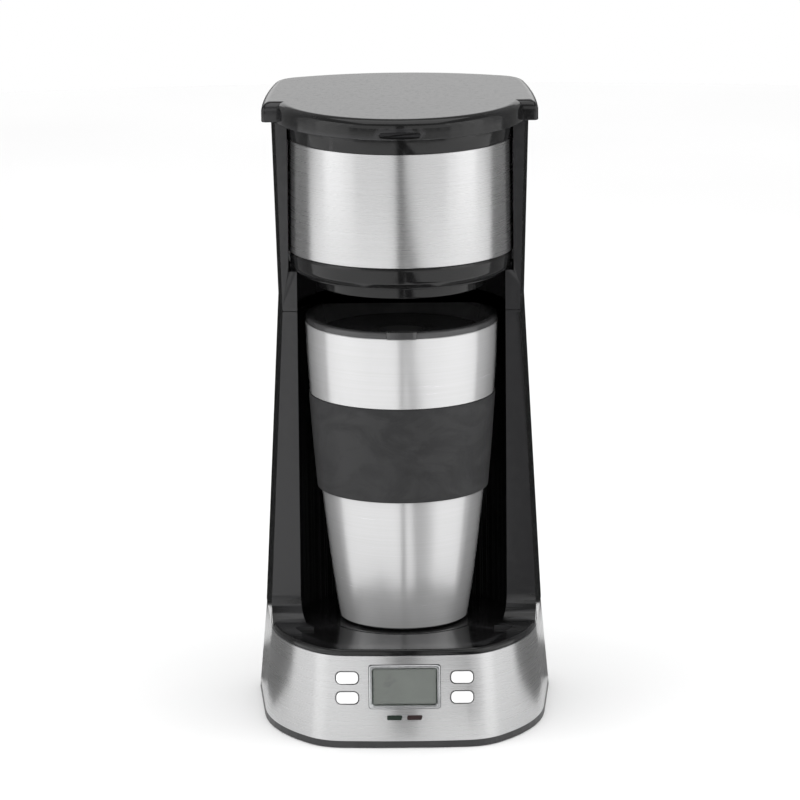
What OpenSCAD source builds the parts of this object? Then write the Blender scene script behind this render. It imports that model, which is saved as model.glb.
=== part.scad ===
// Single-cup drip coffee maker with a steel travel mug, a timer panel and a hinged lid.
// Axis of the mug and of the brew head is the Z axis; the front faces -Y; the feet stand on Z = 0.

/* [Overall] */
// Width of the base at its foot
base_w = 142.6; // [140:0.2:145]
// Depth of the base at its foot
base_d = 149; // [147:0.5:152]
// Height to the top of the lid
total_h = 302; // [299:1:308]
// Wall of the moulded housings
wall = 2.4; // [2:0.1:2.8]

/* [Base] */
// Radius of the bowed front
front_r = 360; // [330:5:400]
// Radius of the small corners beside the front
nose_r = 24; // [22:0.5:26]
// Radius of the wide corners behind them
corner_r = 83.5; // [80:0.5:86]
// Radius of the rear corners
rear_r = 30; // [26:1:32]
// Radius of the bowed rear
back_r = 160; // [150:1:220]
// Underside of the steel band
band_z0 = 3.4; // [3.2:0.1:4]
// Top edge of the steel band
band_z1 = 44.6; // [44:0.1:45]
// Top of the black rim around the deck
rim_z = 47.6; // [47.2:0.1:48]
// Surface that the mug stands on
deck_z = 46; // [45.8:0.1:46.2]
// Width of the black rim around the deck
rim_w = 9; // [8:0.5:10]

/* [Panel] */
// Height of the middle of the display
lcd_z = 29.7; // [29:0.1:30]
// Width of the display frame
lcd_w = 34; // [32:0.5:36]
// Height of the display frame
lcd_h = 21; // [20:0.5:21.5]
// Distance of the buttons from the centre line
button_x = 27.4; // [26:0.2:28]
// Height of the upper buttons
button_z1 = 33.9; // [33.6:0.1:34.4]
// Height of the lower buttons
button_z0 = 24.3; // [24:0.1:24.6]
// Width of a button
button_w = 11.5; // [10.5:0.1:12]
// Height of a button
button_h = 6.6; // [6:0.1:7]
// Travel of a button
button_travel = 1.2; // [0.8:0.1:1.2]
// Height of the two indicator slots
led_z = 14.8; // [13.5:0.1:15.2]
// Distance of the indicator slots from the centre line
led_x = 4.8; // [4.6:0.1:6]

/* [Columns] */
// Height of the joint between the lower and the upper housing
waist_z = 200; // [196:1:204]
// Radius of the mug niche
niche_r = 51.5; // [50.5:0.1:51.8]
// Distance of the column fronts from the mug axis
column_y = 12.5; // [11:0.5:14]
// Radius of the sweep from the columns into the deck
sweep_r = 15; // [12:1:16]

/* [Head] */
// Radius of the steel sleeve
head_r = 54.5; // [54:0.1:54.6]
// Underside of the brew head
head_z0 = 219.8; // [219:0.1:221]
// Underside of the steel sleeve
sleeve_z0 = 229.5; // [228:0.5:231]
// Top of the steel sleeve
sleeve_z1 = 284.1; // [283.8:0.1:284.6]
// Radius of the skirt around the outlet
skirt_r = 41; // [38:0.5:43]
// Lower edge of the skirt around the outlet
skirt_z = 212; // [210:0.5:213]

/* [Lid] */
// Underside of the lid
lid_z = 292.5; // [292.5:0.1:293]
// Radius of the front lobe
lobe_r = 59.9; // [59.4:0.1:60.2]
// Distance of the ears from the centre line
ear_x = 66; // [65:0.2:67]
// Rearmost point of the lid
lid_back = 71; // [70.5:0.1:71.5]

/* [Mug] */
// Radius of the mug at its foot
mug_r0 = 31; // [30:0.2:32]
// Radius of the mug at its mouth
mug_r1 = 46.4; // [45.6:0.1:46.6]
// Height of the mouth of the mug
mug_z1 = 193.5; // [190:0.5:194]
// Lower edge of the rubber band
grip_z0 = 112; // [108:1:116]
// Upper edge of the rubber band
grip_z1 = 158.6; // [154:0.2:162]

/* [Hidden] */
$fn = 72;
eps = 0.01;
front_y = -base_d / 2;
back_y = base_d / 2;
// Scale of the plan against the foot, at each level
foot_k = 1;
band_k0 = 0.997;
band_k1 = 0.946;
rim_k = 0.947;
waist_k = 0.839;
top_k = 0.877;
steel_t = 0.8;
seat_gap = 0.1;
body_top = lid_z - 0.25;
inner_r = niche_r + wall;
// Filter well and tank
well_r = 47;
well_z = 223;
shelf_z = 283;
tank_t = 1.5;
tank_front = 7;
// Hinge of the lid
hinge_y = lid_back - 7;
hinge_z = lid_z + 4.6;
lug_x = 26;
lug_t = 4;
lug_r = 3.6;
pin_r = 1.5;
run_fit = 0.05;
// Water path
bore_r = 3;
spigot_r = 4;
spigot_len = 6;
leg_x = 34;
leg_y = 26;
water_z = 29;
rod_z = 19;
riser = [-44, 46];
outlet = [44, 46];
cover_z = 0.4;
floor_z = 3.4;

black = [0.05, 0.05, 0.055];
dark = [0.16, 0.16, 0.17];
steel = [0.74, 0.74, 0.75];
rubber = [0.24, 0.24, 0.25];

// Points of an arc
function arc(c, r, a0, a1, n) =
    [for (i = [0:n]) let (a = a0 + (a1 - a0) * i / n) [c[0] + r * cos(a), c[1] + r * sin(a)]];
// Mirror image of a list of points, in reverse order
function mirrored(p) = [for (i = [len(p) - 1:-1:0]) [-p[i][0], p[i][1]]];

// Plan of the machine: bowed front, corners of two radii, straight flaring sides, bowed rear.
// k scales it and d moves it outwards; the arcs meet where it has turned by front_a and by nose_a.
front_a = 4.8;
nose_a = 47;
front_c = [0, front_y + front_r];
nose_c = front_c + (front_r - nose_r) * [sin(front_a), -cos(front_a)];
corner_c = nose_c + (nose_r - corner_r) * [sin(nose_a), -cos(nose_a)];
rear_x = base_w / 2 - rear_r;
back_a = asin(rear_x / (back_r - rear_r));
rear_c = [rear_x, back_y - back_r + (back_r - rear_r) * cos(back_a)];
side_v = rear_c - corner_c;
side_a = atan2(side_v[1], side_v[0]) - acos((corner_r - rear_r) / norm(side_v));
function half_plan(k, d) = concat(
    arc(k * front_c, k * front_r + d, -90 + front_a / 2, -90 + front_a, 1),
    arc(k * nose_c, k * nose_r + d, -90 + front_a * 2.2, -90 + nose_a, 5),
    arc(k * corner_c, k * corner_r + d, -90 + nose_a * 1.14, side_a, 6),
    arc(k * rear_c, k * rear_r + d, side_a, 90 - back_a, 9),
    arc(k * [0, back_y - back_r], k * back_r + d, 90 - back_a * 0.75, 90 - back_a * 0.25, 2));
module plan(k, d = 0) polygon(concat(half_plan(k, d), mirrored(half_plan(k, d))));
module flared(z0, z1, k0, k1, d = 0)
    translate([0, 0, z0]) linear_extrude(height = z1 - z0, scale = k1 / k0) plan(k0, d);
module slab(z0, z1) translate([0, 0, z0]) linear_extrude(height = z1 - z0) children();
// Cylinders along X and along Y, starting at p
module along_x(p, r, h) translate(p) rotate([0, 90, 0]) cylinder(r = r, h = h);
module along_y(p, r, h) translate(p) rotate([-90, 0, 0]) cylinder(r = r, h = h);
// Everything behind the plane Y = y
module behind(y) translate([-100, y, -1]) cube([200, 200, 400]);
module ring(r0, r1, z0, z1) rotate_extrude() translate([r0, z0]) square([r1 - r0, z1 - z0]);
// Rounded rectangle
module pill(w, h, r) {
    square([w - 2 * r, h], center = true);
    square([w, h - 2 * r], center = true);
    for (x = [-1, 1], y = [-1, 1]) translate([x * (w / 2 - r), y * (h / 2 - r)]) circle(r);
}
// Front face of the steel band at x, z, within the bowed front
function band_k(z) = band_k0 + (band_k1 - band_k0) * (z - band_z0) / (band_z1 - band_z0);
function band_y(x, z) = let (k = band_k(z)) k * front_c[1] - sqrt(pow(k * front_r, 2) - x * x);

// Round bar or tube swept along a smooth curve through points p
function curve(p, n) = [for (i = [0:len(p) - 2], j = [0:n - 1]) spline(p, i, j / n)];
function pick(p, i) = i < 0 ? 2 * p[0] - p[1] : i >= len(p) ? 2 * p[len(p) - 1] - p[len(p) - 2] : p[i];
function spline(p, i, t) = let (a = pick(p, i - 1), b = p[i], c = p[i + 1], d = pick(p, i + 2))
    0.5 * (2 * b + (c - a) * t + (2 * a - 5 * b + 4 * c - d) * t * t + (3 * b - a - 3 * c + d) * t * t * t);
function unit(v) = v / norm(v);
function aim(q, i) = unit(q[min(i + 1, len(q) - 1)] - q[max(i - 1, 0)]);
function sides(q, i) = i == 0 ? unit(cross(aim(q, 0), [0.31, 0.2, 0.93]))
    : let (s = sides(q, i - 1), a = aim(q, i)) unit(s - a * (s * a));
module sweep(p, r, n = 5, m = 10) {
    q = concat(curve(p, n), [p[len(p) - 1]]);
    rings = [for (i = [0:len(q) - 1]) let (s = sides(q, i), u = cross(aim(q, i), s))
        for (j = [0:m - 1]) q[i] + r * (s * cos(360 * j / m) + u * sin(360 * j / m))];
    last = (len(q) - 1) * m;
    polyhedron(rings, concat(
        [[for (j = [0:m - 1]) j]], [[for (j = [0:m - 1]) last + m - 1 - j]],
        [for (i = [0:len(q) - 2], j = [0:m - 1]) let (a = i * m + j, b = i * m + (j + 1) % m)
            each [[a, b + m, b], [a, a + m, b + m]]]));
}
// Screw with a pan head below its origin and a shank going up
module screw(head_r, head_h, r, h) {
    translate([0, 0, -head_h]) cylinder(r = head_r, h = head_h);
    cylinder(r = r, h = h);
}

// ---- Base -------------------------------------------------------------------------------------
panel_tilt = atan((band_k0 - band_k1) * back_y / (band_z1 - band_z0));
feet_at = [[40, -48], [48, 50]];
boss_at = [[44, -36], [61.5, 34]];
post_at = [[20, 31], [20, 57]];
strap_x = 47;
strap_y = 4;
board_z = 9;
board_d = 13;
window_w = 74;
window_z0 = 8;
window_z1 = 41;
gland_at = [30, 15];
gland_r = 4.9;
pane_edge = 3.6;
button_proud = 0.9;
button_gap = 0.7;
flange_d = 6.1;
flange_t = 1;

// Prism on the tilted panel over the point x, z; d counts inwards from the steel surface there
module on_panel(x, z, d0, d1)
    translate([x, band_y(x, z), z]) rotate([-panel_tilt, 0, 0]) translate([0, d1, 0]) rotate([90, 0, 0])
        linear_extrude(height = d1 - d0) children();
module both_sides() {
    children();
    mirror([1, 0, 0]) children();
}
module at_each(list) for (s = [-1, 1], p = list) translate([s * p[0], p[1], 0]) children();
module button_holes(d0, d1, grow)
    for (s = [-1, 1], z = [button_z0, button_z1]) on_panel(s * button_x, z, d0, d1)
        pill(button_w + grow, button_h + grow, 3.2);
module led_shape() polygon([[-3.5, -0.95], [2.9, -0.95], [3.5, 0.95], [-3.5, 0.95]]);
module led_holes(d0, d1)
    for (s = [-1, 1]) on_panel(s * led_x, led_z, d0, d1) led_shape();

module bottom_cover() color(black) difference() {
    union() {
        flared(cover_z, floor_z, foot_k, 0.996);
        at_each(post_at) cylinder(r = 2.6, h = board_z);
        at_each([[strap_x, strap_y]]) cylinder(r = 3.4, h = 11);
    }
    at_each(feet_at) cylinder(r = 7, h = 2.2);
    at_each(boss_at) {
        cylinder(r = 3.3, h = 2.2);
        cylinder(r = 1.5, h = 10);
    }
    at_each(post_at) translate([0, 0, 5]) cylinder(r = 1, h = 6);
    at_each([[strap_x, strap_y]]) translate([0, 0, 5]) cylinder(r = 1.2, h = 8);
    for (i = [-4:4]) translate([i * 5 - 1, -26, 0]) cube([2, 24, 5]);
    translate([0, 0, -eps]) cylinder(r = 200, h = cover_z + eps);
}
module rubber_feet() color(dark) at_each(feet_at) difference() {
    cylinder(r = 7, h = 2.2);
    translate([0, 0, -eps]) cylinder(r = 3, h = 0.8);
}
module cover_screws() color(steel) at_each(boss_at) translate([0, 0, 2.2]) screw(3.2, 1.2, 1.3, 10);

module columns(z0, z1, k0, k1) intersection() {
    flared(z0, z1, k0, k1);
    behind(-column_y);
}
module column_sweep() intersection() {
    difference() {
        translate([-80, -column_y - sweep_r, band_z1]) cube([160, sweep_r + 1, sweep_r + deck_z - band_z1]);
        along_x([-90, -column_y - sweep_r, deck_z + sweep_r], sweep_r, 180);
    }
    slab(0, waist_z) plan(rim_k - 0.01);
}
module lower_body() color(black) difference() {
    union() {
        flared(floor_z, band_z1, band_k0, band_k1, -steel_t - seat_gap);
        slab(band_z1, rim_z - 1) plan(rim_k);
        slab(rim_z - 1, rim_z) plan(rim_k, -0.8);
        columns(rim_z - 1, waist_z, rim_k, waist_k);
        column_sweep();
    }
    // Hollow of the base, with the bosses left standing
    difference() {
        flared(floor_z - eps, band_z1 - 1.6, band_k0, band_k(band_z1 - 1.6), -steel_t - seat_gap - wall);
        at_each(boss_at) cylinder(r = 4, h = 60);
    }
    at_each(boss_at) cylinder(r = 1.3, h = 14);
    // Hollow of the columns
    intersection() {
        flared(band_z1 - 2, waist_z + eps, rim_k, waist_k, -wall);
        behind(wall - column_y);
        difference() {
            cylinder(r = 120, h = 300);
            cylinder(r = inner_r, h = 300);
        }
    }
    translate([0, 0, band_z1]) cylinder(r = niche_r, h = 200);
    deck_recess(rim_z + 1, 0);
    translate([-window_w / 2, front_y - 5, window_z0]) cube([window_w, 17, window_z1 - window_z0]);
    gland_hole();
}
module deck_recess(z, d) slab(band_z1, z) union() {
    intersection() {
        plan(rim_k, -rim_w - d);
        translate([-100, -120]) square([200, 120 - column_y - sweep_r - d]);
    }
    circle(niche_r - d);
}
module deck_plate() color(black) difference() {
    deck_recess(deck_z, 0.15);
    translate([0, 0, deck_z - 0.4]) ring_groove(mug_r0 + 6, 1.2);
}
module ring_groove(r, w) ring(r - w / 2, r + w / 2, 0, 1);

module steel_band() color(steel) difference() {
    flared(band_z0, band_z1, band_k0, band_k1);
    flared(band_z0 - eps, band_z1 + eps, band_k0, band_k1, -steel_t);
    on_panel(0, lcd_z, -5, 5) pill(lcd_w, lcd_h, 1.4);
    button_holes(-5, 5, button_gap);
    led_holes(-5, 5);
    gland_hole();
}
module gland_hole() along_y([gland_at[0], 60, gland_at[1]], gland_r + 0.1, 20);
module lcd_frame() color(steel) on_panel(0, lcd_z, -0.8, 4) difference() {
    pill(lcd_w, lcd_h, 1.4);
    pill(lcd_w - pane_edge, lcd_h - pane_edge, 0.8);
}
module lcd_window() color([0.4, 0.45, 0.4]) on_panel(0, lcd_z, 0.2, 1.4)
    pill(lcd_w - pane_edge, lcd_h - pane_edge, 0.8);
module lcd_module() color([0.35, 0.4, 0.35]) {
    on_panel(0, lcd_z, 1.4, 4.4) pill(lcd_w - pane_edge - 0.2, lcd_h - pane_edge - 0.2, 0.8);
    on_panel(0, lcd_z, 4.4, board_d) square([lcd_w - 8, lcd_h - 8], center = true);
}
module button_guide() color(black) difference() {
    intersection() {
        flared(floor_z, band_z1, band_k0, band_k1, -steel_t - seat_gap);
        translate([-window_w / 2 + 0.2, front_y - 5, window_z0 + 0.2])
            cube([window_w - 0.4, 17, window_z1 - window_z0 - 0.4]);
    }
    difference() {
        flared(floor_z - eps, band_z1 + eps, band_k0, band_k1, -steel_t - seat_gap - wall);
        for (s = [-1, 1]) on_panel(s * button_x, (button_z0 + button_z1) / 2, 2, 6)
            square([button_w + 3, button_z1 - button_z0 + button_h + 3], center = true);
    }
    on_panel(0, lcd_z, -5, 5) pill(lcd_w + 0.1, lcd_h + 0.1, 1.4);
    button_holes(-5, 9, button_gap);
    led_holes(-5, 6);
}
module led_lens(s, c) color(c) on_panel(s * led_x, led_z, -0.15, 3.6) led_shape();
module led_lens_left() led_lens(-1, [0.12, 0.2, 0.14]);
module led_lens_right() led_lens(1, [0.22, 0.1, 0.1]);
module control_board() color([0.1, 0.35, 0.2]) on_panel(0, 24, board_d, board_d + 1.6)
    square([70, 30], center = true);
// The panel is deeper at the buttons than in the middle, where the board is measured from
panel_step = band_y(button_x, lcd_z) - band_y(0, lcd_z);
plunger_d = flange_d + flange_t + panel_step + button_travel + 0.15;
module tact_switches() color(dark) for (s = [-1, 1], z = [button_z0, button_z1]) {
    on_panel(0, z, board_d - 2.2, board_d) translate([s * button_x, 0]) square(6, center = true);
    on_panel(0, z, plunger_d, board_d - 2.2) translate([s * button_x, 0]) circle(1.6);
}
module indicator_leds() color([0.8, 0.9, 0.8]) for (s = [-1, 1])
    on_panel(0, led_z, 5, board_d) translate([s * led_x, 0]) circle(1.5);
module button(s, z) color([0.95, 0.95, 0.95]) {
    on_panel(s * button_x, z, -button_proud, flange_d) pill(button_w, button_h, 3);
    on_panel(s * button_x, z, flange_d, flange_d + flange_t) pill(button_w + 2.4, button_h + 1.6, 3);
}
module button_program() button(-1, button_z1);
module button_hour() button(-1, button_z0);
module button_power() button(1, button_z1);
module button_minute() button(1, button_z0);

// ---- Electrics and water path in the base -------------------------------------------------------
module power_board() color([0.1, 0.35, 0.2]) difference() {
    translate([-24, 28, board_z]) cube([48, 32, 1.6]);
    at_each(post_at) cylinder(r = 1.1, h = 20);
}
module power_parts() color(dark) translate([0, 0, board_z + 1.6]) {
    translate([-15, 36, 0]) cube([15, 12, 14]);
    translate([6, 34, 0]) cube([11, 9, 9]);
    translate([6, 50, 0]) cylinder(r = 4.5, h = 11);
}
module board_screws() color(steel) at_each(post_at) translate([0, 0, board_z + 1.6]) {
    cylinder(r = 2.2, h = 1.4);
    translate([0, 0, -4.6]) cylinder(r = 1, h = 4.6);
}
module u_path() {
    translate([0, strap_y, 0]) rotate([0, 0, 180]) rotate_extrude(angle = 180) children();
    for (s = [-1, 1]) translate([s < 0 ? -2 * leg_x : 0, leg_y, 0]) rotate([90, 0, 0])
        linear_extrude(height = leg_y - strap_y) children();
}
block_h = 23;
block_w = 13;
block_z = (water_z + rod_z) / 2;
module heater_block() color([0.6, 0.6, 0.6]) difference() {
    union() {
        u_path() translate([leg_x, block_z]) pill(block_w, block_h, 3);
        both_sides() along_y([leg_x, leg_y, water_z], spigot_r, spigot_len);
    }
    u_path() translate([leg_x, water_z]) circle(bore_r);
    u_path() translate([leg_x, rod_z]) circle(3.6);
    both_sides() along_y([leg_x, leg_y - 1, water_z], bore_r, spigot_len + 2);
}
module heater_element() color([0.5, 0.45, 0.4]) {
    u_path() translate([leg_x, rod_z]) circle(3.4);
    both_sides() along_y([leg_x, leg_y, rod_z], 1.4, 8);
}
module heater_bracket() color(steel) difference() {
    translate([-strap_x - 5, strap_y - 6, block_z - block_h / 2 - 1.5]) cube([2 * strap_x + 10, 12, 1.5]);
    at_each([[strap_x, strap_y]]) cylinder(r = 1.4, h = 30);
}
module bracket_screws() color(steel) at_each([[strap_x, strap_y]])
    translate([0, 0, block_z - block_h / 2]) {
        cylinder(r = 2.8, h = 1.8);
        translate([0, 0, -6]) cylinder(r = 1.2, h = 6);
    }
module thermostat() color([0.85, 0.85, 0.8]) translate([0, strap_y - leg_x, block_z + block_h / 2]) {
    cylinder(r = 8, h = 4);
    translate([0, 0, 4]) cylinder(r = 5, h = 1.5);
}
module thermal_fuse() color([0.9, 0.9, 0.88])
    along_y([leg_x - block_w / 2 - 2, 8, block_z], 2, 13);

hose_in = 4.3;
hose_out = 5.6;
// Route of a hose from the heater leg up to the valve; ends gives it that much more at each end
function hose_route(ends) = [[leg_x, leg_y + 1 - ends, water_z], [leg_x, leg_y + spigot_len, water_z],
    [leg_x, leg_y + 11, water_z], [leg_x + 3.5, outlet[1] - 1, water_z + 8.5],
    [outlet[0] - 1.5, outlet[1], water_z + 19], [outlet[0], outlet[1], water_z + 31],
    [outlet[0], outlet[1], water_z + 40], [outlet[0], outlet[1], valve_z - 3 + ends]];
module hose() difference() {
    sweep(hose_route(0), hose_out, 3, 12);
    sweep(hose_route(1), hose_in, 3, 12);
}
module cold_hose() color([0.85, 0.85, 0.85]) hose();
module hot_hose() color([0.85, 0.85, 0.85]) mirror([1, 0, 0]) hose();
clip_w = 4;
module clip_ring() difference() {
    cylinder(r = hose_out + 1.3, h = clip_w);
    translate([0, 0, -1]) cylinder(r = hose_out + 0.1, h = clip_w + 2);
}
module hose_clips() color(steel) both_sides() {
    translate([leg_x, leg_y + 1.6, water_z]) rotate([-90, 0, 0]) clip_ring();
    translate([outlet[0], outlet[1], valve_z - 9]) clip_ring();
}
ball_r = 2.95;
valve_z = 80;
valve_top = 92;
module valve_body() color([0.9, 0.9, 0.88]) translate([outlet[0], outlet[1], 0]) {
    difference() {
        union() {
            translate([0, 0, valve_z - 10]) cylinder(r = spigot_r, h = 11);
            translate([0, 0, valve_z]) cylinder(r = 6, h = valve_top - valve_z);
        }
        translate([0, 0, valve_z - 11]) cylinder(r = bore_r, h = 20);
        translate([0, 0, valve_z + 2]) cylinder(r = ball_r + 0.2, h = 2 * ball_r + 2.2);
        translate([0, 0, valve_z]) cylinder(r = 2, h = 20);
    }
    translate([-bore_r, -0.6, valve_z + 0.6]) cube([2 * bore_r, 1.2, 1.4]);
}
module check_ball() color(steel) translate([outlet[0], outlet[1], valve_z + 2.03 + ball_r])
    sphere(r = ball_r);
module riser_tube() color(steel) translate([riser[0], riser[1], 0]) difference() {
    translate([0, 0, valve_z - 10]) cylinder(r = spigot_r, h = shelf_z + 4 - valve_z + 10);
    translate([0, 0, valve_z - 11]) cylinder(r = bore_r, h = 240);
}
spout_z = 287;
spout_len = norm(riser) - 18;
module water_spout() color(dark) translate([riser[0], riser[1], 0])
    rotate([0, 0, atan2(-riser[1], -riser[0])]) difference() {
        union() {
            translate([0, 0, shelf_z - 4]) cylinder(r = 5.2, h = 11.6);
            translate([0, 0, spout_z]) rotate([0, 90, 0]) cylinder(r = 3.6, h = spout_len);
            translate([spout_len, 0, spout_z - 3.4]) cylinder(r = 4.2, h = 7);
        }
        translate([0, 0, shelf_z - 5]) cylinder(r = 4, h = 9);
        translate([0, 0, shelf_z]) cylinder(r = 2.4, h = 5);
        translate([0, 0, spout_z]) rotate([0, 90, 0]) cylinder(r = 2.2, h = spout_len);
        translate([spout_len, 0, spout_z - 4]) cylinder(r = 2.6, h = 5);
    }
module cord_gland() color(dark) translate([gland_at[0], 0, gland_at[1]]) rotate([-90, 0, 0]) difference() {
    union() {
        translate([0, 0, 64]) cylinder(r = gland_r, h = 8.6);
        translate([0, 0, 62]) cylinder(r = 6.5, h = 2);
    }
    translate([0, 0, 60]) cylinder(r = 3, h = 20);
}
wire_r = 1.2;
module mains_wires() color([0.5, 0.3, 0.15]) for (i = [0, 1])
    sweep([[gland_at[0] - 1.4 + 2.8 * i, 63.5, gland_at[1]], [27 - i, 57, 18 + 4 * i], [18, 56, 25 + 4 * i],
        [6, 50, 29 + 3 * i], [-6, 44, 26 + 3 * i]], wire_r, 3, 8);
module panel_wires() color([0.8, 0.8, 0.8]) for (i = [0:2])
    sweep([[-6 + 3 * i, -56, 20], [-6 + 3 * i, -51, 13], [-6 + 3 * i, -43, 8.5], [-6 + 3 * i, -20, 7.5],
        [-6 + 3 * i, 10, 7.5], [-6 + 3 * i, 26.5, 9.5]], wire_r, 3, 8);

// ---- Upper housing, tank and brew head ----------------------------------------------------------
drum_r = head_r - steel_t - seat_gap;
neck_r = 50.1;
groove_r = 55.4;
groove_y = 8.5;
riser_room = 5.8;
module tube_room(r0, z0, z1) slab(z0, z1) difference() {
    plan(waist_k, 40);
    circle(r0);
}
module before_groove() translate([-100, -100, -1]) cube([200, 100 - groove_y, 400]);
module upper_body() color(black) difference() {
    union() {
        columns(waist_z, body_top, waist_k, top_k);
        translate([0, 0, head_z0]) cylinder(r = neck_r, h = sleeve_z0 - head_z0);
        translate([0, 0, sleeve_z0]) cylinder(r = drum_r, h = sleeve_z1 - sleeve_z0);
        both_sides() hinge_lug();
    }
    cylinder(r = niche_r, h = head_z0);
    translate([0, 0, head_z0 - 1]) cylinder(r = 11.5, h = 10);
    translate([0, 0, well_z]) cylinder(r = well_r, h = 100);
    translate([0, 0, shelf_z]) cylinder(r = neck_r, h = 100);
    // Hollow for the tank
    intersection() {
        flared(waist_z - eps, body_top + eps, waist_k, top_k, -wall);
        behind(wall - column_y);
        union() {
            tube_room(inner_r, waist_z - 1, well_z);
            tube_room(well_r + wall - 0.2, well_z - eps, body_top + 1);
        }
    }
    // Slot for the steel sleeve and the trim rings
    intersection() {
        union() {
            ring(neck_r, groove_r, head_z0 - eps, sleeve_z0);
            ring(drum_r, groove_r, sleeve_z0 - eps, sleeve_z1 + eps);
            ring(neck_r, groove_r, sleeve_z1, body_top + 1);
        }
        before_groove();
    }
    // Shadow gap above the lower housing
    slab(waist_z - eps, waist_z + 0.5) difference() {
        plan(waist_k, 5);
        plan(waist_k, -1);
        translate([-50, -50]) square([100, 50]);
    }
    // Room for the rear edge of the lid
    translate([-42, hinge_y - 7.5, lid_z - 2.9]) difference() {
        cube([84, 30, 10]);
        for (s = [-1, 1]) translate([42 + s * lug_x - lug_t / 2, -1, -1]) cube([lug_t, 40, 20]);
    }
    both_sides() along_x([lug_x - 10, hinge_y, hinge_z], pin_r + run_fit, 20);
}
module hinge_lug() translate([lug_x - lug_t / 2, hinge_y, 0]) {
    along_x([0, 0, hinge_z], lug_r, lug_t);
    translate([0, -lug_r, lid_z - 9]) cube([lug_t, 2 * lug_r, hinge_z - lid_z + 9]);
}

tank_gap = wall + 0.5;
module tank_upper(d) difference() {
    intersection() {
        plan(waist_k, -tank_gap - d);
        translate([-100, d - tank_front]) square(200);
    }
    circle(well_r + tank_gap - 0.1 + d);
    translate(riser) circle(riser_room + d);
}
module tank_lower(d) difference() {
    intersection() {
        plan(waist_k, -tank_gap - d);
        translate([-34 + d, 16 + d]) square(200);
    }
    circle(inner_r + 0.5 + d);
}
tank_floor = valve_top + 2;
module water_tank() color([0.3, 0.3, 0.32]) difference() {
    union() {
        slab(tank_floor, well_z + 1 + tank_t) tank_lower(0);
        slab(well_z + 1, shelf_z) tank_upper(0);
    }
    slab(tank_floor + tank_t, well_z + 2 + tank_t) tank_lower(tank_t);
    slab(well_z + 1 + tank_t, shelf_z + 1) tank_upper(tank_t);
    translate([outlet[0], outlet[1], tank_floor - 1]) cylinder(r = 2.6, h = 5);
}
module tank_seal() color(rubber) translate([outlet[0], outlet[1], 0]) ring(3, 5.4, valve_top, tank_floor);

module head_bottom_ring() color(black) {
    intersection() {
        ring(neck_r, head_r - 0.6, head_z0, sleeve_z0);
        before_groove();
    }
    rotate_extrude() polygon([[skirt_r, head_z0], [skirt_r, skirt_z + 1], [skirt_r - 1, skirt_z],
        [skirt_r - 2, skirt_z], [skirt_r - 2.5, head_z0 - 2], [15, head_z0 - 2.5], [15, head_z0]]);
    rotate_extrude() polygon([[skirt_r - 1, head_z0 - 2], [neck_r - 1, head_z0 - 2], [neck_r, head_z0],
        [skirt_r - 1, head_z0]]);
}
module head_steel_sleeve() color(steel) intersection() {
    ring(drum_r, head_r, sleeve_z0, sleeve_z1);
    before_groove();
}
module head_top_ring() color(black) intersection() {
    ring(neck_r, head_r - 0.1, sleeve_z1, body_top);
    before_groove();
}
basket_z = 281;
module brew_basket() color(dark) rotate_extrude() polygon([[46, basket_z], [45.9, basket_z - 3], [42, 232],
    [38, well_z + 1.2], [10.5, well_z + 0.6], [9.5, skirt_z + 3], [7.5, skirt_z + 3], [8, well_z + 3.2],
    [36, well_z + 3.4], [40, 233], [43.6, basket_z - 1.5], [43.6, basket_z]]);
module filter_frame() color(dark) {
    ring(39.6, 43.4, basket_z - 3, basket_z - 1.6);
    ring(24, 28, 233, 234.6);
    for (a = [0:60:300]) rotate([0, 0, a + 30]) rotate([90, 0, 0]) translate([0, 0, -0.9])
        linear_extrude(height = 1.8)
            polygon([[27, 233], [28.4, 233], [43, basket_z - 2.8], [41.4, basket_z - 2.8]]);
}
module filter_mesh() color([0.75, 0.65, 0.35]) rotate_extrude() polygon([[0, 234.6], [26.4, 234.6],
    [39.8, basket_z - 3.2], [39.2, basket_z - 3.2], [26, 235.2], [0, 235.2]]);

// ---- Lid ----------------------------------------------------------------------------------------
ear_r = 400;
lid_corner = 16;
lid_bow = 130;
side_c = [ear_x - ear_r, -column_y - 0.5];
bow_c = [0, lid_back - lid_bow];
// Centre of the rear corner: as far from both arcs as its own radius
function meet(a, ra, b, rb) = let (v = b - a, d = norm(v), t = (ra * ra - rb * rb + d * d) / (2 * d),
    h = sqrt(ra * ra - t * t)) a + v / d * t + [-v[1], v[0]] / d * h;
lid_c = meet(side_c, ear_r - lid_corner, bow_c, lid_bow - lid_corner);
function angle_of(v) = atan2(v[1], v[0]);
ear_y = -column_y - 0.5;
function lid_half(d) = let (lobe_c = [0, -2], ear_a = asin((ear_y + d + 2) / (lobe_r - d)), tip = 2,
        s = angle_of(lid_c - side_c), b = angle_of(lid_c - bow_c))
    concat(arc(lobe_c, lobe_r - d, -87, ear_a, 14),
        arc([ear_x - d - tip, ear_y + d + tip], tip, -90, 0, 4),
        arc(side_c, ear_r - d, 1, s, 4), arc(lid_c, lid_corner - d, s + 8, b, 9),
        arc(bow_c, lid_bow - d, b + (90 - b) / 4, 90 - (90 - b) / 4, 2));
module lid_plan(d = 0) polygon(concat(lid_half(d), mirrored(lid_half(d))));
lid_bevel = [[0, 0], [4.6, 0.35], [6.4, 1.2], [8, 2.3], [8.9, 3.5]];
module lid_solid() for (i = [0:len(lid_bevel) - 1])
    slab(lid_z + lid_bevel[i][0], i < len(lid_bevel) - 1 ? lid_z + lid_bevel[i + 1][0] : total_h)
        lid_plan(lid_bevel[i][1]);
lug_room = lug_t / 2 + 0.4;
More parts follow.
